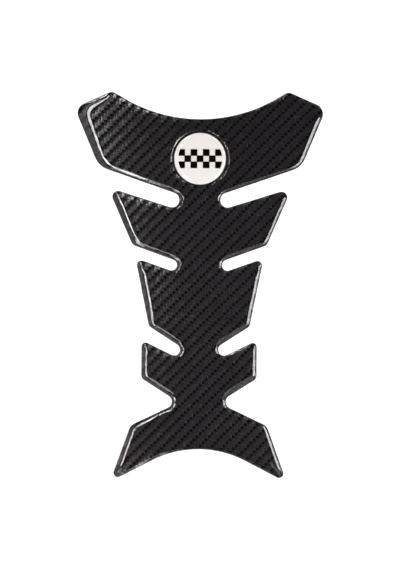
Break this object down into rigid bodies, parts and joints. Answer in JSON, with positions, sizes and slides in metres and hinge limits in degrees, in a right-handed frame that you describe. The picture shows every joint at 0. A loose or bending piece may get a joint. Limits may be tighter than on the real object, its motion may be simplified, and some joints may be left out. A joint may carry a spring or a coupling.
{
  "type": "motorcycle tank pad",
  "caption": "Self-adhesive fuel tank pad with a finned, waisted outline: carbon-look film under clear domed resin, and a round white emblem set in a well near its broad end.",
  "frame": {"origin": "middle of the outline's bounding box, on the underside of the adhesive", "axes": "+Y along the pad towards its broad end with the emblem, +Z away from the tank, +X to the right seen from above"},
  "size_m": [0.1402, 0.22, 0.0027],
  "materials": {
    "adhesive": "grey pressure-sensitive adhesive, satin",
    "carbon_print": "vinyl film printed as woven carbon",
    "clear_resin": "clear cast polyurethane, high gloss",
    "white_vinyl": "warm white vinyl",
    "black_ink": "black print",
    "emblem_resin": "clear cast polyurethane lens, high gloss"
  },
  "bodies": {
    "root": {"adhesive_layer": "adhesive", "carbon_film": "carbon_print", "pad_dome": "clear_resin", "emblem_disc": "white_vinyl", "emblem_print": "black_ink", "emblem_dome": "emblem_resin"}
  },
  "joints": []
}
